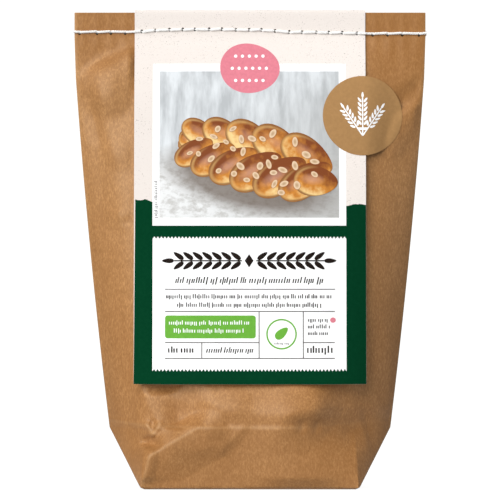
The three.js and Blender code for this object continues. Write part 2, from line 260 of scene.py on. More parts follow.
# Waves of the handled paper: how many there are a metre across and up, a shift of their pattern,
# and their height.
crumple_waves = [(34, 15, 0, 0.9 * mm), (120, 60, 5, 0.2 * mm)]
front_seed, back_seed = 3, 40
stitch_length = 6.35 * mm
pucker_height = 0.1 * mm
pucker_below, pucker_above, pucker_fade = 16 * mm, 14 * mm, 8 * mm
lap_left, lap_right, lap_rise = -8 * mm, 9 * mm, 0.3 * mm
lap_step, lap_slope = 1 * mm, 5 * mm
foot_fade, strip_fade = 6 * mm, 8 * mm
label_half_width = 52.5 * mm
label_front_bottom = 47.4 * mm
label_back_bottom = 90 * mm
backed_relief, backed_edge = 0.15 * mm, 2 * mm
label_curl_height = 34 * mm
label_curl = 2.4 * mm
curl_filled = 0.75


def fold_relief(x, z, folds):
    """Height of all the folds over a face, and how far each point is rubbed pale."""
    height, wear = np.zeros_like(x), np.zeros_like(x)
    for (start_x, start_z), (end_x, end_z), left, right, rise, rubbed in folds:
        run_x, run_z = (end_x - start_x) * mm, (end_z - start_z) * mm
        off_x, off_z = x - start_x * mm, z - start_z * mm
        along = np.clip((off_x * run_x + off_z * run_z) / (run_x ** 2 + run_z ** 2), 0, 1)
        near_x, near_z = off_x - along * run_x, off_z - along * run_z
        distance = np.hypot(near_x, near_z)
        across = (run_x * near_z - run_z * near_x) / np.maximum(np.hypot(run_x, run_z) * distance, 1e-12)
        reach = mix(right, left, (1 + across) / 2) * mm
        top = reach * (crisp_top if rubbed > 0 else soft_top)
        near = np.clip(1 - (np.hypot(distance, top) - top) / (np.hypot(reach, top) - top), 0, 1)
        height += rise * mm * mix(near, smooth(near), 1 / 3)
        wear = np.maximum(wear, rubbed * np.clip(1 - distance / rubbed_half_width, 0, 1))
    return height, wear


def crumple(x, z, seed):
    """The slight unevenness of handled paper: tall soft waves, and smaller ones across them."""
    height = np.zeros_like(x)
    for across, up, shift, rise in crumple_waves:
        wave = [noise.noise(Vector((a * across, b * up, seed + shift))) for a, b in zip(x, z)]
        height += rise * np.array(wave)
    return height


def seam_pucker(x, z):
    """The stitches draw the paper in between them, which shows as small waves below the seam."""
    waves = pucker_height * np.cos(2 * math.pi * x / stitch_length)
    grown = smooth(z, strip_height - pucker_below, strip_height)
    return waves * grown * smooth(strip_height + pucker_above - z, 0, pucker_fade)


def face_relief(x, z, side):
    """Relief of the front (side -1) or the back (side 1), and how far it is rubbed pale. The label
    holds the paper down behind it, except where it curls away."""
    relief, wear = fold_relief(x, z, front_folds if side < 0 else back_folds)
    relief = relief + crumple(x, z, front_seed if side < 0 else back_seed)
    if side > 0:
        glued_lap = smooth(x, lap_left, lap_left + lap_step) * smooth(lap_right - x, 0, lap_slope)
        relief = relief + lap_rise * glued_lap
    bottom = label_front_bottom if side < 0 else label_back_bottom
    beside = smooth(label_half_width + backed_edge / 2 - np.abs(x), -backed_edge, backed_edge)
    backed = beside * smooth(z, bottom - 2 * backed_edge, bottom + backed_edge)
    curl = np.clip(1 - (z - bottom) / label_curl_height, 0, 1)
    room = backed_relief + curl_filled * label_curl * curl * curl
    relief = mix(relief, np.minimum(relief, room), backed)
    free = smooth(z, 0, foot_fade) * smooth(strip_height - z, 0, strip_fade)
    return relief * free + seam_pucker(x, z), wear


def wrap_tube(shape):
    """Wraps a flat grid round the tube, from the glued seam in the middle of the back."""
    above = [knee_height]
    for top, count in row_stretches:
        above += [*np.linspace(above[-1], top, count + 1)[1:]]
    heights = [knee_height * step / foot_rows for step in range(foot_rows)] + above
    rings = [foot_ring(step) for step in range(foot_rows)] + [belly_ring(z) for z in above]
    around, rows = 4 * columns, len(heights) - 1
    bmesh.ops.create_grid(shape, x_segments=around, y_segments=rows, size=0.5)
    turn = np.array([round((vertex.co.x + 0.5) * around) for vertex in shape.verts])
    row = np.array([round((vertex.co.y + 0.5) * rows) for vertex in shape.verts])
    front = (turn >= columns) & (turn <= 3 * columns)
    from_middle = np.where(front, turn - 2 * columns, np.where(turn < columns, -turn, around - turn))
    column = np.abs(from_middle)
    ring_x, ring_y = (np.array(part) for part in zip(*rings))
    x = np.sign(from_middle) * ring_x[row, column]
    depth = np.where(column == columns, 0, ring_y[row, column])
    z = np.array(heights)[row]
    wear = np.zeros_like(x)
    inner = smooth(columns - column, 0, side_columns)
    for side, chosen in ((-1, front), (1, ~front)):
        relief, wear[chosen] = face_relief(x[chosen], z[chosen], side)
        least = np.minimum(depth[chosen], strip_half_thickness)
        depth[chosen] = np.maximum(depth[chosen] + relief * inner[chosen], least)
    wear = np.maximum(wear, side_wear * smooth(1 - (columns - column) / side_wear_columns))
    y = np.where(front, -depth, depth)
    worn = shape.verts.layers.float.new("worn")
    for i, vertex in enumerate(shape.verts):
        vertex.co = (x[i], y[i], z[i])
        vertex[worn] = wear[i]
    bmesh.ops.remove_doubles(shape, verts=shape.verts, dist=same_place)


def close_tube(shape):
    """Shuts the foot over its flaps, and leaves the two plies of the top edge apart by a slit."""
    rims = [edge for edge in shape.edges if edge.is_boundary]
    foot = [edge for edge in rims if edge.verts[0].co.z < bag_height / 2]
    top = [edge for edge in rims if edge.verts[0].co.z > bag_height / 2]
    inner = bmesh.ops.extrude_edge_only(shape, edges=foot)["geom"]
    inner_verts = [item for item in inner if isinstance(item, bmesh.types.BMVert)]
    bmesh.ops.translate(shape, verts=inner_verts, vec=(0, 0, floor_of_paper))
    bmesh.ops.scale(shape, verts=inner_verts, vec=(foot_inset, foot_inset, 1))
    inner_edges = [item for item in inner if isinstance(item, bmesh.types.BMEdge)]
    bmesh.ops.holes_fill(shape, edges=inner_edges)
    mouth = bmesh.ops.holes_fill(shape, edges=top)["faces"]
    bmesh.ops.recalc_face_normals(shape, faces=shape.faces)
    bmesh.ops.inset_region(shape, faces=mouth, thickness=paper_thickness, depth=0)
    bmesh.ops.translate(shape, verts=mouth[0].verts, vec=(0, 0, -mouth_depth))


def bare_object(name, shape, material):
    """Turns a finished bmesh into an object of one material."""
    mesh = bpy.data.meshes.new(name)
    shape.to_mesh(mesh)
    shape.free()
    mesh.materials.append(material)
    return put_in_scene(name, mesh)


def make_piece(name, shape, material):
    """Turns a finished bmesh into a smooth piece that rides on the bag."""
    bmesh.ops.recalc_face_normals(shape, faces=shape.faces)
    piece = bare_object(name, shape, material)
    piece.data.shade_smooth()
    piece.data.set_sharp_from_angle(angle=sharp_angle)
    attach(piece, "root")
    return piece


def set_inputs(node, values):
    for name, value in values.items():
        node.inputs[name].default_value = value


class Finish:
    """A procedural material, and short ways to add its nodes."""

    def __init__(self, name, roughness, specular=0.5):
        self.material = bpy.data.materials.new(name)
        self.material.use_nodes = True
        self.nodes = self.material.node_tree.nodes
        self.link = self.material.node_tree.links.new
        self.surface = self.nodes["Principled BSDF"]
        set_inputs(self.surface, {"Roughness": roughness, "Specular IOR Level": specular})

    def node(self, kind, values=None, **settings):
        made = self.nodes.new(kind)
        for name, value in settings.items():
            setattr(made, name, value)
        set_inputs(made, values or {})
        return made

    def place(self):
        return self.node("ShaderNodeTexCoord").outputs["Object"]

    def part(self, place, axis):
        """One coordinate of a place."""
        parts = self.node("ShaderNodeSeparateXYZ")
        self.link(place, parts.inputs[0])
        return parts.outputs[axis]

    def reach(self, place, middle=(0, 0, 0), size=(1, 1, 1), turn=0.0):
        """How far a place lies from a middle, counted in half sizes of an oval turned about Y."""
        oval_place = {"Location": middle, "Rotation": (0, turn, 0), "Scale": size}
        mapping = self.node("ShaderNodeMapping", oval_place, vector_type="TEXTURE")
        self.link(place, mapping.inputs["Vector"])
        length = self.node("ShaderNodeVectorMath", operation="LENGTH")
        self.link(mapping.outputs["Vector"], length.inputs[0])
        return length.outputs["Value"]

    def maths(self, operation, first, second):
        worked = self.node("ShaderNodeMath", operation=operation)
        self.link(first, worked.inputs[0])
        self.link(second, worked.inputs[1])
        return worked.outputs[0]

    def noise(self, scale, stretch=(1, 1, 1), detail=2.0, roughness=0.5):
        """A noise pattern on the piece's Object coordinates, with its scale in cells a metre."""
        mapping = self.node("ShaderNodeMapping", {"Scale": stretch})
        self.link(self.place(), mapping.inputs["Vector"])
        kind_of_noise = {"Scale": scale, "Detail": detail, "Roughness": roughness}
        texture = self.node("ShaderNodeTexNoise", kind_of_noise)
        self.link(mapping.outputs["Vector"], texture.inputs["Vector"])
        return texture.outputs["Fac"]

    def spread(self, value, low, high, to_low=0.0, to_high=1.0):
        """Maps a stretch of a pattern's values to another, clamped."""
        ends = {"From Min": low, "From Max": high, "To Min": to_low, "To Max": to_high}
        spread = self.node("ShaderNodeMapRange", ends)
        self.link(value, spread.inputs["Value"])
        return spread.outputs["Result"]

    def blend(self, share, first, second):
        """Mixes two colours, each a node's output or three numbers."""
        blend = self.node("ShaderNodeMix", data_type="RGBA")
        self.link(share, blend.inputs["Factor"])
        for name, colour in (("A", first), ("B", second)):
            socket = [s for s in blend.inputs if s.name == name and s.type == "RGBA"][0]
            if isinstance(colour, tuple):
                socket.default_value = (*colour, 1)
            else:
                self.link(colour, socket)
        return [s for s in blend.outputs if s.type == "RGBA"][0]

    def over(self, pattern, low, high, under, colour, to_low=0.0, to_high=1.0):
        """Lays a colour over another, by a share that follows a stretch of a pattern's values."""
        return self.blend(self.spread(pattern, low, high, to_low, to_high), under, colour)

    def colour(self, output):
        self.link(output, self.surface.inputs["Base Color"])

    def grain(self, pattern, depth):
        """Raises the surface by a pattern, by a depth in metres."""
        bump = self.node("ShaderNodeBump", {"Strength": 1, "Distance": depth})
        self.link(pattern, bump.inputs["Height"])
        self.link(bump.outputs["Normal"], self.surface.inputs["Normal"])


def kraft_paper():
    """Brown paper with streaky fibres, soft clouds and dark flecks, pale where a fold has broken its
    surface, and painted light: a painted sheen that makes it a little paler from its foot up to under
    the seam, and painted shade that makes it darker at its top, its foot and its upper right corner."""
    finish = Finish("kraft paper", roughness=0.5, specular=0.5)
    set_inputs(finish.surface, {"Specular Tint": (1, 0.88, 0.68, 1)})
    fibres = finish.noise(1500, stretch=(1, 1, 0.4), detail=4, roughness=0.7)
    mottles = finish.noise(620, stretch=(1, 1, 0.7), detail=3, roughness=0.6)
    clouds = finish.noise(110, stretch=(1, 1, 0.6), detail=3)
    flecks = finish.noise(2600, stretch=(1, 1, 0.3), detail=1)
    tone = finish.over(clouds, 0.3, 0.7, (0.361, 0.1635, 0.051), (0.446, 0.2185, 0.0772))
    mottled = finish.over(mottles, 0.38, 0.62, tone, (0.305, 0.130, 0.036), 0, 0.6)
    streaked = finish.over(fibres, 0.36, 0.6, mottled, (0.26, 0.111, 0.031), 0.74, 0)
    fibrous = finish.over(fibres, 0.5, 0.68, streaked, (0.60, 0.315, 0.12), 0, 0.28)
    flecked = finish.over(flecks, 0.70, 0.76, fibrous, (0.20, 0.08, 0.02))
    height = finish.part(finish.place(), "Z")
    # Painted sheen: the paper is made a little paler from its foot up to just under the seam.
    filled = finish.spread(height, 0.03, 0.14, 0, 0.07)
    sheen_share = finish.maths("MULTIPLY", filled, finish.spread(height, 0.18, 0.2, 1, 0))
    with_painted_sheen = finish.blend(sheen_share, flecked, (0.66, 0.46, 0.25))
    # Painted shade: darker at the top, under the seam.
    with_painted_top_shade = finish.over(height, 0.188, 0.203, with_painted_sheen, (0.26, 0.10, 0.015), 0, 0.32)
    # Painted shade: darker at the upper right corner, which turns away from the key light.
    beside = finish.spread(finish.part(finish.place(), "X"), 0.045, 0.06, 0, 0.34)
    corner = finish.maths("MULTIPLY", beside, finish.spread(height, 0.152, 0.178))
    shaded = finish.blend(corner, with_painted_top_shade, (0.26, 0.10, 0.015))
    # Painted shade: darker at the foot, below the base fold.
    with_painted_foot_shade = finish.over(height, 0.034, 0.028, shaded, (0.26, 0.112, 0.03), 0, 0.24)
    worn = finish.node("ShaderNodeAttribute", attribute_name="worn").outputs["Fac"]
    finish.colour(finish.over(worn, 0, 1, with_painted_foot_shade, (0.66, 0.43, 0.22), 0, 0.4))
    finish.grain(fibres, 0.04 * mm)
    return finish.material


kraft = kraft_paper()
tube = bmesh.new()
wrap_tube(tube)
close_tube(tube)
bag = make_piece("paper_bag", tube, kraft)
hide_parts("bag")

# Base flaps
# The tube's foot is shut by folded paper: two pockets at its narrow ends, then the rear flap, and
# the front flap glued over them.
flap_ply, flap_thickness = 0.3 * mm, 0.279 * mm
flap_half_width = 46.2 * mm
flap_half_depth = 28.4 * mm
flap_shoulder = 9 * mm
flap_overlap = 7 * mm
flap_tip, pocket_tip = 20 * mm, 18 * mm
flap_cuts = 3


def base_flap(name, outline, low):
    """A ply of paper on the underside, from its outline (x, y) and the height of its lower face."""
    shape = bmesh.new()
    shape.faces.new([shape.verts.new((x, y, low)) for x, y in outline])
    bmesh.ops.subdivide_edges(shape, edges=shape.edges[:], cuts=flap_cuts, use_grid_fill=True)
    bmesh.ops.solidify(shape, geom=shape.faces[:], thickness=-flap_thickness)
    lowest = min(vertex.co.z for vertex in shape.verts)
    bmesh.ops.translate(shape, verts=shape.verts, vec=(0, 0, low - lowest))
    make_piece(name, shape, kraft)


def long_flap(side):
    shoulder = side * (flap_half_depth - flap_shoulder)
    right_half = [(flap_tip, -side * flap_overlap), (flap_half_width, shoulder),
                  (flap_half_width, side * flap_half_depth)]
    return [(-x, y) for x, y in reversed(right_half)] + right_half


def end_pocket(side):
    end = side * flap_half_width
    return [(end, -flap_half_depth), (end, flap_half_depth), (side * pocket_tip, 0)]


base_flap("base_flap_front", long_flap(-1), 0)
base_flap("base_flap_rear", long_flap(1), flap_ply)
base_flap("base_pocket_left", end_pocket(-1), 2 * flap_ply)
base_flap("base_pocket_right", end_pocket(1), 2 * flap_ply)

# Label
# A strip of smooth printed paper, folded over the bag's top edge and sewn in with it, longer in
# front than behind. It follows the bag loosely and its lower edge curls away a little.
gap = 0.3 * mm
label_solid_thickness = 0.4 * mm
label_thickness = 0.25 * mm
label_follow = 0.6
label_columns, label_front_rows, label_fold_rows, label_back_rows = 42, 84, 8, 63
fold_radius = strip_half_thickness + gap + label_solid_thickness


def label_face(x, z, side=-1):
    """How far the label's outer face stands from the bag's middle plane."""
    half_width, half_depth, fullness = section_at(z)
    across = label_follow * (abs(x) / half_width) ** fullness
    bottom = label_front_bottom if side < 0 else label_back_bottom
    curl = max(0, 1 - (z - bottom) / label_curl_height)
    inner = gap + mix(half_depth, edge_half_thickness, across)
    return inner + label_curl * curl * curl + label_solid_thickness


def fold_label(shape):
    """Lays a flat grid up the front, over the top edge and down the back."""
    fold_top = label_front_rows + label_fold_rows
    rows = fold_top + label_back_rows
    bmesh.ops.create_grid(shape, x_segments=label_columns, y_segments=rows, size=0.5)
    for vertex in shape.verts:
        x = 2 * label_half_width * vertex.co.x
        row = round((vertex.co.y + 0.5) * rows)
        if row <= label_front_rows:
            z = mix(label_front_bottom, bag_height, row / label_front_rows)
            vertex.co = (x, -label_face(x, z, -1), z)
        elif row < fold_top:
            turn = math.pi * (row - label_front_rows) / label_fold_rows
            vertex.co = (x, -fold_radius * math.cos(turn), bag_height + fold_radius * math.sin(turn))
        else:
            z = mix(bag_height, label_back_bottom, (row - fold_top) / label_back_rows)
            vertex.co = (x, label_face(x, z, 1), z)


def thicken(shape, thickness):
    """Gives a sheet its thickness, behind the face that looks to the front."""
    shape.normal_update()
    foremost = min(shape.faces, key=lambda face: face.calc_center_median().y)
    if foremost.normal.y > 0:
        bmesh.ops.reverse_faces(shape, faces=shape.faces)
    bmesh.ops.solidify(shape, geom=shape.faces[:], thickness=thickness)


def speckled_paper():
    """Cream paper with fine speckles in loose patches, and painted light that makes it a little
    brighter towards its right side and its upper edge, to even out the shade there."""
    finish = Finish("speckled label paper", roughness=0.6, specular=0.2)
    coarse = finish.noise(1900, detail=1)
    patches = finish.noise(150, detail=1)
    clouds = finish.noise(1100, detail=3, roughness=0.7)
    place = finish.place()
    # Painted light: brighter towards the right, where the label turns away from the key light.
    cream_painted_brighter_right = finish.over(finish.part(place, "X"), -0.05, 0.05, (0.688, 0.633, 0.593), (0.828, 0.764, 0.714))
    # Painted light: towards the upper edge the cream goes to one tone, brighter than on its left side.
    cream_painted_even_top = finish.over(finish.part(place, "Z"), 0.168, 0.206, cream_painted_brighter_right, (0.77, 0.708, 0.663))
    clouded = finish.over(clouds, 0.35, 0.65, cream_painted_even_top, (0.66, 0.60, 0.55), 0, 0.24)
    patchy = finish.spread(patches, 0.36, 0.6, 0.15, 0.9)
    speckle = finish.maths("MULTIPLY", finish.spread(coarse, 0.66, 0.72), patchy)
    finish.colour(finish.blend(speckle, clouded, (0.36, 0.31, 0.28)))
    finish.grain(clouds, 0.01 * mm)
    return finish.material


strip = bmesh.new()
fold_label(strip)
thicken(strip, label_thickness)
label = make_piece("printed_label", strip, speckled_paper())
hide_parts("label")

# Printed fields
# The label's front is printed: a green field with a torn upper edge, a white picture frame and a
# white card with pinked ends. Each ink is a very thin sheet, cut along the label's own grid so that
# both bend alike, and laid on its face.
ink_thickness = 0.015 * mm
field_lift, paper_lift, text_lift = 0.02 * mm, 0.045 * mm, 0.07 * mm
cut_margin = 0.01 * mm
field_left, field_right, field_bottom = -52.47, 52.47, 47.4
torn_edge = [(-52.45, 130.6), (-49.4, 130.2), (-47.4, 130.8), (-44.4, 129.6), (-20, 128.6), (20, 127.4),
             (43.9, 127.7), (46.2, 128.3), (49.2, 128.6), (52.45, 128.1)]
tear_step, tear_depth = 0.6, 0.16
frame_left, frame_right, frame_bottom, frame_top = -44.1, 43.5, 118.8, 192.5
picture_left, picture_right, picture_bottom, picture_top = -41.0, 40.3, 122.4, 189.0
card_left, card_right, card_bottom, card_top = -44.0, 43.5, 53.15, 113.95
pinked_teeth, pinked_depth = 55, 1.1


def area(shape, points, lift=0.0, local=None):
    """Adds a flat area through points (x, z) in millimetres, counted against the clock. local gives
    each corner's place on the area's own pattern."""
    corners = [shape.verts.new((x * mm, 0, z * mm)) for x, z in points]
    for corner in corners:
        corner[shape.verts.layers.float["lift"]] = lift
    face = shape.faces.new(corners)
    for loop, place in zip(face.loops, local or points):
        loop[shape.loops.layers.uv["place"]].uv = place


def new_print(*outlines):
    """A sheet of flat print, with a layer for how high each of its areas lies over the others."""
    shape = bmesh.new()
    shape.verts.layers.float.new("lift")
    shape.loops.layers.uv.new("place")
    for outline in outlines:
        area(shape, outline)
    return shape


def rectangle(left, right, bottom, top):
    return [(left, bottom), (right, bottom), (right, top), (left, top)]


def turned(centre, along, across, turn):
    """The point that lies along and across a turned direction from a centre (x, z)."""
    cos, sin = math.cos(turn), math.sin(turn)
    return centre[0] + along * cos - across * sin, centre[1] + along * sin + across * cos


def oval(centre, length, width, steps, turn=0.0, narrow=0.0):
    """An egg's outline, by its half length and half width, and the same outline round (0, 0) at
    size 1, as its own pattern's places."""
    angles = [2 * math.pi * step / steps for step in range(steps)]
    local = [(math.cos(angle), math.sin(angle) * (1 - narrow * math.cos(angle))) for angle in angles]
    return [turned(centre, along * length, across * width, turn) for along, across in local], local


def lay_print(shape, name, material, face=label_face, lift=text_lift):
    """Cuts the flat print along the label's grid, gives it its thickness and lays it on a face."""
    places = [vertex.co for vertex in shape.verts]
    left, right = min(place.x for place in places), max(place.x for place in places)
    low, high = min(place.z for place in places), max(place.z for place in places)
    columns_x = np.linspace(-label_half_width, label_half_width, label_columns + 1)
    rows_z = np.linspace(label_front_bottom, bag_height, label_front_rows + 1)
    cuts = [((x, 0, 0), (1, 0, 0)) for x in columns_x if left + cut_margin < x < right - cut_margin]
    cuts += [((0, 0, z), (0, 0, 1)) for z in rows_z if low + cut_margin < z < high - cut_margin]
    for place, direction in cuts:
        everything = shape.verts[:] + shape.edges[:] + shape.faces[:]
        bmesh.ops.bisect_plane(shape, geom=everything, plane_co=place, plane_no=direction, dist=same_place)
    bmesh.ops.solidify(shape, geom=shape.faces[:], thickness=ink_thickness)
    front = min(vertex.co.y for vertex in shape.verts)
    own_lift = shape.verts.layers.float["lift"]
    for vertex in shape.verts:
        depth = face(vertex.co.x, vertex.co.z) + lift + vertex[own_lift] * mm
        vertex.co.y = vertex.co.y - front - depth
    make_piece(name, shape, material)


def printed_ink(name, colour, roughness=0.6):
    """Ink that soaked a little unevenly into the paper."""
    finish = Finish(name, roughness, specular=0.03)
    thin = tuple(min(0.95, 1.12 * part + 0.0006) for part in colour)
    finish.colour(finish.over(finish.noise(700, detail=3), 0.3, 0.7, colour, thin))
    return finish.material


def torn_outline():
    """The green field: straight below, and along its upper edge torn in small steps."""
    draw = random.Random(5)
    edge_x, edge_z = zip(*torn_edge)
    points = [(field_left, field_bottom), (field_right, field_bottom)]
    for x in np.arange(field_right, field_left - 0.01, -tear_step):
        z = float(np.interp(x, edge_x, edge_z)) + draw.uniform(-tear_depth, tear_depth)
        points.append((float(x), z))
    return points


def pinked_outline():
    """The card's outline, with both its ends cut in a zigzag."""
    pitch = (card_right - card_left) / pinked_teeth
    low = [(card_left + pitch * step / 2, card_bottom + pinked_depth * (step % 2))
           for step in range(2 * pinked_teeth + 1)]
    high = [(x, card_top - pinked_depth + (z - card_bottom)) for x, z in reversed(low)]
    return low + high


green_ink = printed_ink("dark green ink", (0.0004, 0.036, 0.013), roughness=0.9)
white_ink = printed_ink("white paper", (0.88, 0.88, 0.88), roughness=0.7)
black_ink = printed_ink("black ink", (0.014, 0.009, 0.007))

green_field = new_print(torn_outline())
lay_print(green_field, "green_field", green_ink, lift=field_lift)
white_fields = new_print(rectangle(frame_left, frame_right, frame_bottom, frame_top), pinked_outline())
lay_print(white_fields, "white_fields", white_ink, lift=paper_lift)

# Picture
# A printed picture of a plaited loaf with flaked almonds, lying a little aslant on crumpled linen.
# Its strands are overlapping ovals in a far and a near row, which grow towards the near end and are
# shaded on their own patterns.
loaf_middle = (-1.2, 150.4)
loaf_tilt = math.radians(-13)
loaf_growth = 0.006
# Each row's number of strands, their pitch, how far up the row lies, and each strand's half length,
# half width and turn.
far_row = (5, 12.2, 7.2, 12.6, 7.4, math.radians(-20))
near_row = (6, 10.4, -5.6, 12.8, 7.2, math.radians(44))
row_reach = 40
end_length, end_width = 0.6, 0.4
strand_lift, lift_for_each = 0.03, 0.012
near_row_lift = text_lift + 0.08 * mm
oval_steps = 40
almond_count, almond_gap, almond_lift = 34, 3.8, 0.22
almond_area_length, almond_area_width = 33, 14


def linen_cloth():
    """Linen that hangs in soft upright folds behind the loaf and lies crumpled under it."""
    finish = Finish("printed linen", roughness=0.6, specular=0.12)
    place = finish.place()
    hanging = finish.noise(110, stretch=(1.7, 1, 0.25), detail=4, roughness=0.6)
    crumpled = finish.noise(260, stretch=(1, 1, 1.6), detail=5, roughness=0.65)
    behind = finish.over(hanging, 0.34, 0.62, (0.42, 0.44, 0.455), (0.66, 0.69, 0.71))
    under = finish.over(crumpled, 0.36, 0.56, (0.50, 0.495, 0.48), (0.72, 0.73, 0.73))
    cloth = finish.over(finish.part(place, "Z"), 0.156, 0.142, behind, under)
    corner = finish.reach(place, (0.056, 0, 0.136), (0.07, 0, 0.055))
    shaded = finish.over(corner, 0.1, 1.1, cloth, (0.34, 0.335, 0.32), 0.8, 0)
    below_loaf = finish.reach(place, (-0.001, 0, 0.1395), (0.039, 0, 0.0145), -loaf_tilt)
    finish.colour(finish.over(below_loaf, 0.7, 1.15, shaded, (0.12, 0.085, 0.06), 0.8, 0))
    return finish.material


def pattern_place(finish):
    return finish.node("ShaderNodeUVMap", uv_map="place").outputs["UV"]


def baked_crust(name, paler):
    """Each strand is brown and glossy above, golden below, and pale where it was stretched."""
    finish = Finish(name, roughness=0.6, specular=0.12)
    place = pattern_place(finish)
    uneven = finish.spread(finish.noise(330, detail=3), 0.3, 0.7, -0.35 - paler, 0.35 - paler)
    varied = finish.spread(finish.noise(80, detail=1), 0.35, 0.65, -0.3, 0.3)
    height = finish.maths("ADD", finish.maths("ADD", finish.part(place, "Y"), uneven), varied)
    golden = finish.over(height, -1.15, -0.5, (0.80, 0.57, 0.25), (0.56, 0.22, 0.036))
    browned = finish.over(height, -0.5, 0.4, golden, (0.20, 0.052, 0.013))
    gloss = finish.reach(place, (-0.15, 0.1, 0), (0.6, 0.42, 1))
    glossy = finish.over(gloss, 0.2, 1.0, browned, (0.60, 0.34, 0.25), 0.5 - paler / 2, 0)
    rim = finish.spread(finish.reach(place), 0.8, 0.94)
    outer_end = finish.spread(finish.part(place, "X"), 0.1, -0.6, 0, 0.6)
    pale = finish.blend(finish.maths("MULTIPLY", rim, outer_end), glossy, (0.72, 0.46, 0.17))
    finish.colour(finish.over(finish.reach(place), 0.9, 1.0, pale, (0.19, 0.06, 0.014), 0, 0.8))
    return finish.material


def flaked_almond():
    finish = Finish("printed almond", roughness=0.6, specular=0.12)
    reach = finish.reach(pattern_place(finish))
    body = finish.over(reach, 0.2, 0.75, (0.47, 0.31, 0.18), (0.72, 0.54, 0.36))
    finish.colour(finish.over(reach, 0.84, 1.0, body, (0.34, 0.14, 0.045)))
    return finish.material


def loaf_oval(shape, along, up, length, width, turn, lift, narrow=0.22):
    """An egg-shaped area on the loaf, on which things look larger towards its near end."""
    size = 1 + loaf_growth * along
    centre = turned(loaf_middle, along * (1 + size) / 2, up * size, loaf_tilt)
    points, local = oval(centre, length * size, width * size, oval_steps, loaf_tilt + turn, narrow)
    area(shape, points, lift, local)


def row_of_strands(shape, count, pitch, up, length, width, turn):
    """Strands that lie over each other one by one, smaller towards the ends of the row."""
    for number in range(count):
        along = (number - (count - 1) / 2) * pitch
        taper = math.sqrt(1 - (along / row_reach) ** 2)
        loaf_oval(shape, along, up * taper, length * mix(end_length, 1, taper),
                  width * mix(end_width, 1, taper), turn, strand_lift + lift_for_each * number)


linen = new_print(rectangle(picture_left, picture_right, picture_bottom, picture_top))
lay_print(linen, "printed_linen", linen_cloth())

# The loaf's body shows between its strands, and a smaller strand ends each row.
far_strands = new_print()
loaf_oval(far_strands, 0, -1, 32, 11.5, 0, 0.01, narrow=0)
loaf_oval(far_strands, -30, 2, 6, 5.5, 0.3, 0.02)
row_of_strands(far_strands, *far_row)
lay_print(far_strands, "printed_far_strands", baked_crust("printed far crust", 0.4))

near_strands = new_print()
row_of_strands(near_strands, *near_row)
loaf_oval(near_strands, 30, -3.5, 8.5, 5.8, 0.15, 0.11)
lay_print(near_strands, "printed_near_strands", baked_crust("printed near crust", 0), lift=near_row_lift)

almonds = new_print()
draw_almond = random.Random(11)
placed = []
while len(placed) < almond_count:
    along, up = draw_almond.uniform(-29, 30), draw_almond.uniform(-12, 12)
    on_top = (along / almond_area_length) ** 2 + (up / almond_area_width) ** 2 < 1
    if on_top and all(math.hypot(along - a, up - b) > almond_gap for a, b in placed):
        length, width = draw_almond.uniform(1.5, 2.3), draw_almond.uniform(1.0, 1.5)
        turn = draw_almond.uniform(0, math.pi)
        loaf_oval(almonds, along, up, length, width, turn, almond_lift, narrow=0.15)
        placed.append((along, up))
lay_print(almonds, "printed_almonds", flaked_almond())

# Printed card
# On the white card: a dark ornament of two wheat ears and a diamond, greeked lines, thin rules, a
# light green box, a green ring with a leaf and a pink dot. A pink spot with rows of dots lies over
# the picture's upper edge. Nothing on it can be read.
ornament = (-0.4, 102.95)
diamond = [(-2, 0), (0, -3), (2, 0), (0, 3)]
ear_start, ear_stem, ear_pairs = 3.2, 0.6, 7
grain_length, grain_width = 2.75, 1.05
grain_steps, grain_narrow = 18, 0.3
grain_pitch = 4.3
grain_lean = math.radians(36)
stem_width = 0.6
stroke_heights, stroke_depths = (1, 1, 1, 1.45), (0, 0, 0, 0, 0.35)
shortest_word, longest_word, word_gap = 3, 9, 0.9
least_pitch, most_pitch = 0.85, 1.3
# Greeked lines: left and right end, foot, height, slant, and the strokes' width and pitch.
card_lines = [
    (-33.8, 32.9, 92.9, 1.9, 0.22, 0.56, 0.98),
    (-37.9, 38.0, 86.0, 1.35, 0, 0.46, 0.76),
    (-32.9, 32.9, 82.2, 1.35, 0, 0.46, 0.76),
    (-36.9, -24.3, 61.6, 1.9, 0, 0.66, 1.15),
    (-19.8, 1.4, 61.6, 1.7, 0.22, 0.52, 0.9),
    (25.7, 37.4, 61.5, 2.2, 0, 0.66, 1.2),
    (26.1, 35.0, 75.5, 1.2, 0, 0.44, 0.76),
    (26.1, 36.5, 72.5, 1.2, 0, 0.44, 0.76),
    (26.1, 35.2, 69.5, 1.2, 0, 0.44, 0.76),
    (11.0, 17.6, 65.3, 0.6, 0, 0.3, 0.55),
]
upright_line = (122.4, 139.0, 41.9, 1.0, 0, 0.28, 0.64)
box_lines = [(-36.5, 0.0, 74.2, 1.3, 0, 0.4, 0.8), (-34.3, -2.3, 70.6, 1.3, 0, 0.4, 0.8)]
half_rule = 0.21
level_rules = [(-38.3, 38.4, 90.1), (-38.3, 38.3, 80.1), (-38.3, 4.1, 66.1), (24.0, 38.2, 66.1),
               (-38.3, 38.2, 59.0)]
upright_rules = [(4.1, 80.1), (24.0, 80.1), (-21.7, 66.1)]
box_left, box_right, box_bottom, box_top = -38.3, 2.6, 68.0, 78.3
box_corner, corner_steps = 1.2, 6
ring_x, ring_z, ring_outer, ring_inner, ring_steps = 14.2, 69.9, 6.9, 6.2, 48
leaf_start = (ring_x - 2.6, ring_z - 2.0)
leaf_length, leaf_width, leaf_turn = 3.6, 1.9, math.radians(42)
spot_x, spot_z, spot_half_width, spot_half_height, spot_steps = -0.3, 190.4, 13.3, 11.6, 72
pink_dot, pink_dot_half_width, pink_dot_half_height = (37.4, 76.2), 1.3, 1.2
dot_pitch, dot_radius = 3.1, 0.75
dot_rows = [(196.0, 5), (190.4, 6), (184.8, 5)]


def corn_grain(shape, start, turn, length, width):
    """A grain of corn that starts at a point (x, z) and leans away from it."""
    points, local = oval(turned(start, length, 0, turn), length, width, grain_steps, turn, grain_narrow)
    area(shape, points, local=local)


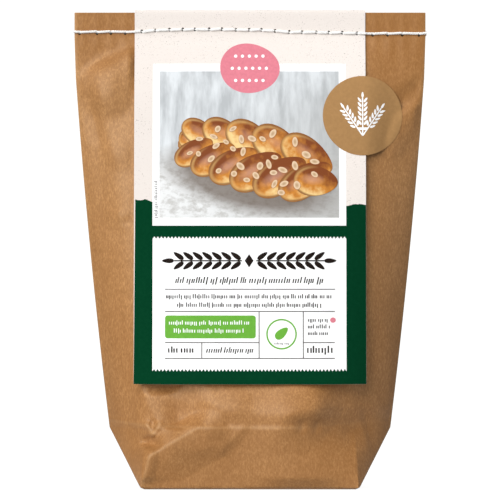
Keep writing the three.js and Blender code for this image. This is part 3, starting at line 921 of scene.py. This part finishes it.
def ear(shape, foot, turn, stem, pairs, size=1.0):
    """An ear of corn from its foot (x, z): its stem, then pairs of grains and one at the tip."""
    half, tip = stem_width / 2, stem + grain_pitch * size * pairs
    stem_corners = ((0, -half), (tip, -half), (tip, half), (0, half))
    area(shape, [turned(foot, along, across, turn) for along, across in stem_corners])
    for step in range(pairs):
        for side in (-1, 1):
            start = turned(foot, stem + grain_pitch * size * step, side * stem_width, turn)
            corn_grain(shape, start, turn + side * grain_lean, grain_length * size, grain_width * size)
    corn_grain(shape, turned(foot, tip, 0, turn), turn, grain_length * size, grain_width * size)


def strokes(shape, line, seed, upright=False):
    """A greeked line: short strokes in groups like words, none of them a letter."""
    left, right, base, height, slant, width, pitch = line
    draw = random.Random(seed)
    along = left
    while along < right - pitch:
        for _ in range(draw.randint(shortest_word, longest_word)):
            if along > right - width:
                break
            top = base + height * draw.choice(stroke_heights)
            foot = base - height * draw.choice(stroke_depths)
            lean = slant * (top - foot)
            corners = [(along, foot), (along + width, foot),
                       (along + width + lean, top), (along + lean, top)]
            area(shape, [(-v, u) for u, v in corners] if upright else corners)
            along += pitch * draw.uniform(least_pitch, most_pitch)
        along += pitch * word_gap


def rounded_rectangle(left, right, bottom, top, radius):
    inner_corners = rectangle(left + radius, right - radius, bottom + radius, top - radius)
    points = []
    for corner, start in zip(inner_corners, (180, 270, 0, 90)):
        for step in range(corner_steps + 1):
            points.append(turned(corner, radius, 0, math.radians(start + 90 * step / corner_steps)))
    return points


card_print = new_print()
area(card_print, [turned(ornament, along, up, 0) for along, up in diamond])
for turn in (0, math.pi):
    ear(card_print, turned(ornament, ear_start, 0, turn), turn, ear_stem, ear_pairs)
for seed, line in enumerate(card_lines, 1):
    strokes(card_print, line, seed)
strokes(card_print, upright_line, seed=12, upright=True)
lay_print(card_print, "card_print", black_ink)

rules = new_print(*[rectangle(left, right, z - half_rule, z + half_rule) for left, right, z in level_rules])
for x, top in upright_rules:
    area(rules, rectangle(x - half_rule, x + half_rule, level_rules[-1][2], top), lift=0.01)
lay_print(rules, "card_rules", printed_ink("grey ink", (0.09, 0.083, 0.079)))

green_box = new_print(rounded_rectangle(box_left, box_right, box_bottom, box_top, box_corner))
for step in range(ring_steps):
    start, end = (2 * math.pi * turn / ring_steps for turn in (step, step + 1))
    piece_corners = ((ring_outer, start), (ring_outer, end), (ring_inner, end), (ring_inner, start))
    area(green_box, [turned((ring_x, ring_z), radius, 0, angle) for radius, angle in piece_corners])
bmesh.ops.remove_doubles(green_box, verts=green_box.verts, dist=same_place)
corn_grain(green_box, leaf_start, leaf_turn, leaf_length, leaf_width)
lay_print(green_box, "light_green_print", printed_ink("light green ink", (0.129, 0.365, 0.045)))

box_strokes = new_print()
for seed, line in enumerate(box_lines, 20):
    strokes(box_strokes, line, seed)
lay_print(box_strokes, "box_strokes", white_ink, lift=text_lift + 0.03 * mm)

pink_spot = new_print()
spot_points = []
for step in range(spot_steps):
    angle = 2 * math.pi * step / spot_steps
    reach = 1 + 0.025 * math.cos(2 * angle + 0.8) + 0.02 * math.cos(3 * angle)
    spot_points.append((spot_x + spot_half_width * reach * math.cos(angle),
                        spot_z + spot_half_height * reach * math.sin(angle)))
area(pink_spot, spot_points, lift=0.03)
area(pink_spot, oval(pink_dot, pink_dot_half_width, pink_dot_half_height, steps=20)[0])
lay_print(pink_spot, "pink_print", printed_ink("pink ink", (0.625, 0.193, 0.242)))

spot_dots = new_print()
for row_z, count in dot_rows:
    for step in range(count):
        middle = (spot_x + dot_pitch * (step - (count - 1) / 2), row_z)
        area(spot_dots, oval(middle, dot_radius, dot_radius, steps=14)[0])
lay_print(spot_dots, "spot_dots", white_ink, lift=text_lift + 0.06 * mm)

# Sticker
# A round sticker of tan paper, stuck half on the label and half on the bag, with three white ears
# of corn in its middle.
sticker_low, sticker_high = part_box("sticker")
sticker_x, sticker_z = (sticker_low.x + sticker_high.x) / 2, (sticker_low.z + sticker_high.z) / 2
sticker_radius = (sticker_high.z - sticker_low.z) / 2
sticker_thickness = 0.2 * mm
sticker_lift = 0.05 * mm
sticker_overhang, sticker_settle = 0.6 * mm, 14 * mm
sticker_rings, sticker_spokes = 16, 96
sheaf_drop, sheaf_size, sheaf_stem = 9.2, 0.48, 5.0
sheaf_ears = [(-34, 5), (0, 6), (34, 5)]
tie_half_width, tie_bottom, tie_top = 2.2, -6.6, -5.4


def bag_face(x, z):
    """How far the creased paper stands from the middle plane in front."""
    relief = face_relief(np.array([x]), np.array([z]), -1)[0][0]
    return paper_depth(x, z) + relief


def sticker_face(x, z):
    """The sticker's outer face: on the label, and from its edge settling down on to the bag."""
    depth = label_face(x, z)
    if x > label_half_width:
        edge_step = label_face(label_half_width, z) - paper_depth(label_half_width, z)
        settle = 1 - smooth(x - label_half_width - sticker_overhang, 0, sticker_settle)
        depth = max(paper_depth(x, z) + edge_step * settle, bag_face(x, z))
    return depth + sticker_thickness + sticker_lift


round_sheet = bmesh.new()
spoke_places = np.linspace(0, sticker_radius, sticker_rings + 1)
spoke = [round_sheet.verts.new((place, 0, 0)) for place in spoke_places]
for inner_end, outer_end in zip(spoke, spoke[1:]):
    round_sheet.edges.new((inner_end, outer_end))
bmesh.ops.spin(round_sheet, geom=round_sheet.verts[:] + round_sheet.edges[:], cent=(0, 0, 0),
               axis=(0, 1, 0), angle=2 * math.pi, steps=sticker_spokes, use_merge=True)
bmesh.ops.remove_doubles(round_sheet, verts=round_sheet.verts, dist=same_place)
bmesh.ops.translate(round_sheet, verts=round_sheet.verts, vec=(sticker_x, 0, sticker_z))
for vertex in round_sheet.verts:
    vertex.co.y = -sticker_face(vertex.co.x, vertex.co.z)
bmesh.ops.recalc_face_normals(round_sheet, faces=round_sheet.faces)
thicken(round_sheet, sticker_thickness)
tan_paper = printed_ink("tan paper", (0.35, 0.196, 0.079))
sticker = make_piece("round_sticker", round_sheet, tan_paper)
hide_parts("sticker")

sheaf = new_print()
sheaf_x, sheaf_z = sticker_x / mm, sticker_z / mm
for lean, pairs in sheaf_ears:
    ear(sheaf, (sheaf_x, sheaf_z - sheaf_drop), math.radians(90 + lean), sheaf_stem, pairs, sheaf_size)
area(sheaf, rectangle(sheaf_x - tie_half_width, sheaf_x + tie_half_width,
                      sheaf_z + tie_bottom, sheaf_z + tie_top), lift=0.005)
lay_print(sheaf, "sticker_ear", white_ink, face=sticker_face, lift=0.03 * mm)

# Sewing thread
# White thread of three twisted strands sews the bag and the label shut in a chain stitch. In front
# it runs in short straight stitches from hole to hole, and behind it makes a chain of loops.
hole_places = [-77.7, -69.7, -63.4, -56.8, -49.3, -43.1, -36.7, -30.6, -25.1, -18.6, -12.8, -6.4, -0.4,
               5.2, 11.4, 17.9, 23.7, 30.2, 35.9, 42.0, 48.8, 55.9, 62.7, 69.4, 77.0]
seam_bends = [(-80, 0.2), (-49, 0.3), (-42, 0.8), (-36, 1.1), (-13, 1.3), (-6, 1.0), (5.5, 1.0),
              (11.5, 0.5), (18, 0.05), (30, -0.15), (42, -0.3), (49, -0.6), (60, -0.5), (80, -0.5)]
thread_plies = 3
strand_radius = 0.35 * mm
twist_radius = 0.30 * mm
twist_pitch = 3.4 * mm
yarn_radius = strand_radius + twist_radius
yarn_clearance = -0.25 * mm
strand_sides = 6
steps_per_stitch = 16
stitch_slope, every_third_slope = 0.35 * mm, -0.6
label_step = 1.2 * mm
needle_room = 0.4 * mm
dip_half_width = 0.5 * mm
dip_on_label, dip_on_paper = 2.4 * mm, 0.6 * mm
loop_overlap = 1.6 * mm
loop_half_height = 0.95 * mm
loop_rise, loop_rise_start = 0.55 * mm, 0.45
loop_narrow = 0.55
loop_steps = 40
last_loop_end = 80.5
end_overhang = 0.4


def seam_line(x):
    places, heights = zip(*seam_bends)
    return seam_height + float(np.interp(x / mm, places, heights)) * mm


def on_label(x):
    return abs(x) < label_half_width + needle_room


def sewn_surface(x):
    """How far the sewn surface stands from the middle plane, with the label's step softened."""
    over = 1 - smooth(abs(x), label_half_width, label_half_width + label_step)
    return strip_half_thickness + over * (gap + label_solid_thickness)


def yarn(shape, route):
    """Three strands twisted round a route of points, each a thin tube."""
    route = [Vector(point) for point in route]
    last = len(route) - 1
    tangents = []
    for i in range(len(route)):
        tangents.append((route[min(i + 1, last)] - route[max(i - 1, 0)]).normalized())
    run = np.cumsum([0] + [(b - a).length for a, b in zip(route, route[1:])])
    turns = max(1, round(run[-1] / twist_pitch)) / run[-1]
    sideways = Vector((0, 1, 0))
    for ply in range(thread_plies):
        made = bmesh.ops.create_grid(shape, x_segments=strand_sides, y_segments=last, size=0.5)["verts"]
        for vertex in made:
            side = round((vertex.co.x + 0.5) * strand_sides) % strand_sides
            step = round((vertex.co.y + 0.5) * last)
            out = (sideways - tangents[step] * tangents[step].dot(sideways)).normalized()
            across = tangents[step].cross(out)
            wind = 2 * math.pi * (run[step] * turns + ply / thread_plies)
            heart = route[step] + (out * math.cos(wind) + across * math.sin(wind)) * twist_radius
            angle = 2 * math.pi * side / strand_sides
            vertex.co = heart + (out * math.cos(angle) + across * math.sin(angle)) * strand_radius


def close_strands(shape):
    bmesh.ops.remove_doubles(shape, verts=shape.verts, dist=same_place)
    bmesh.ops.holes_fill(shape, edges=[edge for edge in shape.edges if edge.is_boundary])


def spun_thread():
    """White cotton, through which light spreads."""
    finish = Finish("white thread", roughness=0.8, specular=0.2)
    fibres = finish.noise(2500, stretch=(0.4, 1, 1), detail=3)
    finish.colour(finish.over(fibres, 0.3, 0.7, (0.86, 0.85, 0.81), (0.96, 0.955, 0.94)))
    set_inputs(finish.surface, {"Subsurface Weight": 0.5, "Subsurface Scale": 0.6 * mm,
                                "Subsurface Radius": (1, 1, 1)})
    return finish.material


def front_stitches():
    """The route in front: it dips into each hole, far into those on the label."""
    route = []
    ends = [-half_flat / mm - end_overhang, *hole_places, half_flat / mm + end_overhang]
    for number, (first, last) in enumerate(zip(ends, ends[1:])):
        for step in range(steps_per_stitch + (last == ends[-1])):
            share = (1 - math.cos(math.pi * step / steps_per_stitch)) / 2
            x = mix(first, last, share) * mm
            nearest = min(abs(x - place * mm) for place in hole_places)
            near = math.exp(-(nearest / dip_half_width) ** 2)
            slope = stitch_slope * (1 if number % 3 else every_third_slope)
            lean = slope * (share - 0.5) * (1 - near)
            dip = dip_on_label if on_label(x) else dip_on_paper
            depth = sewn_surface(x) + yarn_radius + yarn_clearance - dip * near
            route.append((x, -depth, seam_line(x) + lean))
    return route


def back_loop(first, last):
    """A loop behind, from one hole round to the next and through the loop that starts there."""
    length = (last - first) * mm + loop_overlap
    points = []
    for step in range(loop_steps + 1):
        angle = 2 * math.pi * step / loop_steps
        share = (1 - math.cos(angle)) / 2
        x = min(first * mm + length * share - loop_overlap / 2, half_flat)
        depth = sewn_surface(x) + yarn_radius + yarn_clearance
        depth += loop_rise * smooth(share, loop_rise_start, 1)
        half_height = loop_half_height * mix(loop_narrow, 1, share)
        points.append((x, depth, seam_line(x) + half_height * math.sin(angle)))
    return points


thread_shape = bmesh.new()
yarn(thread_shape, front_stitches())
for first, last in zip(hole_places, [*hole_places[1:], last_loop_end]):
    yarn(thread_shape, back_loop(first, last))
close_strands(thread_shape)
sewing_thread = make_piece("sewing_thread", thread_shape, spun_thread())
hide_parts("thread")

# Needle holes
# The needle left a hole at the end of every stitch, on the bare paper a little under the
# thread. They are cut into the bag's strip and the label from both sides, leaving a thin floor in
# the middle, and every face the cut makes is painted near-black as painted shade in the hole.
hole_half_width, hole_half_height = 0.7 * mm, 0.88 * mm
hole_above_on_label, hole_below_on_paper = 0.1 * mm, 0.6 * mm
hole_floor, hole_sides = 0.06 * mm, 14
needle_length = 3 * mm


def needle_holes(shape):
    for place in hole_places:
        x = place * mm
        z = seam_line(x) + (hole_above_on_label if on_label(x) else -hole_below_on_paper)
        for side in (-1, 1):
            middle = (x, side * (hole_floor + needle_length / 2), z)
            upright = Matrix.Translation(middle) @ Matrix.Rotation(math.pi / 2, 4, "X")
            sized = Matrix.Diagonal((hole_half_width, hole_half_height, 1, 1))
            bmesh.ops.create_cone(shape, cap_ends=True, segments=hole_sides, radius1=1, radius2=1,
                                  depth=needle_length, matrix=upright @ sized)


# Painted shade: the near-black colour of the holes' walls and floors.
def painted_hole_shade():
    finish = Finish("painted shade in the holes", roughness=0.9, specular=0.05)
    finish.colour(finish.blend(finish.noise(900), (0.03, 0.018, 0.01), (0.07, 0.042, 0.024)))
    return finish.material


cutter_shape = bmesh.new()
needle_holes(cutter_shape)
hole_shade = painted_hole_shade()
needle = bare_object("needle", cutter_shape, hole_shade)
for pierced in (bag, label):
    pierced.data.materials.append(hole_shade)
    cut = pierced.modifiers.new("holes", "BOOLEAN")
    cut.operation = "DIFFERENCE"
    cut.solver = "MANIFOLD"
    cut.object = needle
    cut.material_mode = "TRANSFER"
    evaluated = pierced.evaluated_get(bpy.context.evaluated_depsgraph_get())
    punched = bpy.data.meshes.new_from_object(evaluated)
    pierced.modifiers.clear()
    pierced.data = punched
bpy.data.objects.remove(needle)

# Floor and light
# A plain white floor, a soft key light from the left in front, a weak fill from the right, light
# bounced up from below, and a back light from above that clears the bag's own shadow.
floor_radius, floor_sides = 0.185, 96
floor_drop = 0.1 * mm
floor_finish = Finish("white floor", roughness=0.9, specular=0.1)
set_inputs(floor_finish.surface, {"Base Color": (0.15, 0.15, 0.15, 1), "Emission Color": (1, 1, 1, 1),
                                  "Emission Strength": 0.92})
floor_shape = bmesh.new()
bmesh.ops.create_circle(floor_shape, cap_ends=True, radius=floor_radius, segments=floor_sides)
bmesh.ops.translate(floor_shape, verts=floor_shape.verts, vec=(0, 0, -floor_drop))
floor = bare_object("floor", floor_shape, floor_finish.material)
floor.visible_diffuse = False


def sun(name, azimuth, elevation, strength, spread):
    """A distant soft light; azimuth is measured from the camera's side towards the right."""
    data = bpy.data.lights.new(name, "SUN")
    data.energy = strength
    data.angle = math.radians(spread)
    lamp = put_in_scene(name, data)
    lamp.rotation_euler = (math.radians(90 - elevation), 0, math.radians(azimuth))


sun("key light", azimuth=-32, elevation=26, strength=3.85, spread=58)
sun("fill light", azimuth=78, elevation=8, strength=0.42, spread=60)
sun("bounced light", azimuth=-15, elevation=-40, strength=0.2, spread=60)
sun("back light", azimuth=165, elevation=40, strength=1.7, spread=50)

world = bpy.data.worlds.new("studio")
world.use_nodes = True
sky = world.node_tree
room = sky.nodes["Background"]
backdrop = sky.nodes.new("ShaderNodeBackground")
set_inputs(room, {"Color": (1, 1, 1, 1), "Strength": 0.2})
set_inputs(backdrop, {"Color": (1, 1, 1, 1), "Strength": 1.1})
seen = sky.nodes.new("ShaderNodeLightPath")
choice = sky.nodes.new("ShaderNodeMixShader")
sky.links.new(seen.outputs["Is Camera Ray"], choice.inputs["Fac"])
sky.links.new(room.outputs[0], choice.inputs[1])
sky.links.new(backdrop.outputs[0], choice.inputs[2])
sky.links.new(choice.outputs[0], sky.nodes["World Output"].inputs["Surface"])
bpy.context.scene.world = world
bpy.context.scene.view_settings.view_transform = "Standard"
